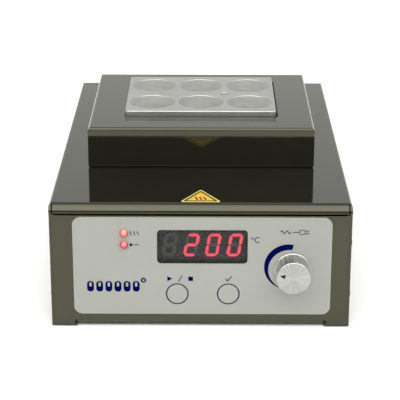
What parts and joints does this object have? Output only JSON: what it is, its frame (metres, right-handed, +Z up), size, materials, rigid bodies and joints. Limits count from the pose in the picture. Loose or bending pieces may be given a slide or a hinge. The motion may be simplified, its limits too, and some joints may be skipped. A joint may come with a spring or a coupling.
{
  "type": "dry block heater",
  "caption": "Bench dry block heater: a dark folded steel housing, a raised tower holding a lift-out aluminium tube block, and a silver control panel with display, keys and knob.",
  "frame": {"origin": "centre of the rectangle the whole heater covers, knob and mains inlet included, on the plane its feet stand on", "axes": "+Z up, the front panel faces -Y, +X to the right of a person facing the front panel"},
  "size_m": [0.1806, 0.276, 0.1064],
  "materials": {
    "lacquered_steel": "smooth dark grey gloss lacquer",
    "tube_block": "milled, brushed top and turned bores",
    "heater_casting": "dull machined aluminium",
    "bent_aluminium": "thin mill-finish aluminium",
    "silver_overlay": "fine satin silver",
    "smoked_window": "dark smoked acrylic",
    "display_body": "moulded black",
    "indicator_lens": "clear red, lit",
    "spun_aluminium": "spun face, fine serrated rim",
    "zinc_steel": "zinc-plated",
    "black_screw": "black oxide",
    "foot_rubber": "matt",
    "marker_film": "yellow film",
    "circuit_board": "green solder mask",
    "black_moulding": "fine moulded texture",
    "grey_moulding": "moulded",
    "green_moulding": "moulded",
    "yellow_film_part": "film-wrapped box",
    "wrap_fibre": "mineral fibre",
    "ceramic_white": "unglazed",
    "brass_parts": "bright",
    "lead_sheath": "silicone sheath",
    "grey_ribbon": "flat ribbon",
    "transformer_core": "varnished laminations",
    "fuse_glass": "clear tube with metal ends"
  },
  "bodies": {
    "housing": {"board_screws": "zinc_steel", "board_standoffs": "zinc_steel", "cartridge_heaters": "zinc_steel", "ceramic_spacers": "ceramic_white", "chassis_tray": "lacquered_steel", "control_board": "circuit_board", "cutout_screws": "zinc_steel", "display_window": "smoked_window", "earth_lead": "green_moulding", "earth_nut": "brass_parts", "filter_capacitor": "yellow_film_part", "front_overlay": "silver_overlay", "heat_marker": "marker_film", "heat_shield": "bent_aluminium", "heater_leads": "lead_sheath", "heater_well": "heater_casting", "hot_led": "indicator_lens", "housing_screws": "black_screw", "inlet_blades": "brass_parts", "inlet_nuts": "zinc_steel", "inlet_screws": "zinc_steel", "insulation_board": "wrap_fibre", "insulation_wrap": "wrap_fibre", "led_display": "display_body", "mains_inlet": "black_moulding", "mains_leads": "lead_sheath", "microcontroller": "black_moulding", "potentiometer_body": "zinc_steel", "potentiometer_nut": "zinc_steel", "potentiometer_washer": "zinc_steel", "power_board": "circuit_board", "probe_lead": "grey_moulding", "ribbon_cable": "grey_ribbon", "ribbon_headers": "black_moulding", "rubber_feet": "foot_rubber", "run_led": "indicator_lens", "switch_housing": "black_moulding", "switch_terminals": "brass_parts", "tact_switches": "black_moulding", "temperature_probe": "zinc_steel", "terminal_block": "green_moulding", "thermal_cutout": "ceramic_white", "top_cover": "lacquered_steel", "tower_cover": "lacquered_steel", "transformer": "transformer_core", "triac": "black_moulding", "triac_heatsink": "bent_aluminium", "well_bolts": "zinc_steel", "well_standoffs": "zinc_steel"},
    "knob": {"control_knob": "spun_aluminium", "knob_grub_screw": "black_screw", "potentiometer_shaft": "zinc_steel"},
    "start_stop_key": {"start_stop_button": "silver_overlay", "start_stop_plunger": "black_moulding"},
    "set_key": {"set_button": "silver_overlay", "set_plunger": "black_moulding"},
    "tube_block": {"block_insert": "tube_block"},
    "rocker": {"mains_rocker": "black_moulding"},
    "drawer": {"fuse_drawer": "black_moulding", "fuses": "fuse_glass"}
  },
  "joints": [
    {"name": "knob_turn", "type": "hinge", "parent": "housing", "child": "knob", "pos_m": [0.0542, -0.13, 0.037], "axis": [0, 1, 0], "range_deg": [-58, 212]},
    {"name": "start_stop_press", "type": "slide", "parent": "housing", "child": "start_stop_key", "axis": [0, 1, 0], "range_m": [0, 0.0005], "stiffness_N_per_m": 800},
    {"name": "set_press", "type": "slide", "parent": "housing", "child": "set_key", "axis": [0, 1, 0], "range_m": [0, 0.0005], "stiffness_N_per_m": 800},
    {"name": "block_lift", "type": "slide", "parent": "housing", "child": "tube_block", "axis": [0, 0, 1], "range_m": [0, 0.08]},
    {"name": "mains_rocker_tilt", "type": "hinge", "parent": "housing", "child": "rocker", "pos_m": [0.004, 0.1303, 0.039], "axis": [1, 0, 0], "range_deg": [-18, 0]},
    {"name": "fuse_drawer_slide", "type": "slide", "parent": "housing", "child": "drawer", "axis": [0, 1, 0], "range_m": [0, 0.021]}
  ]
}
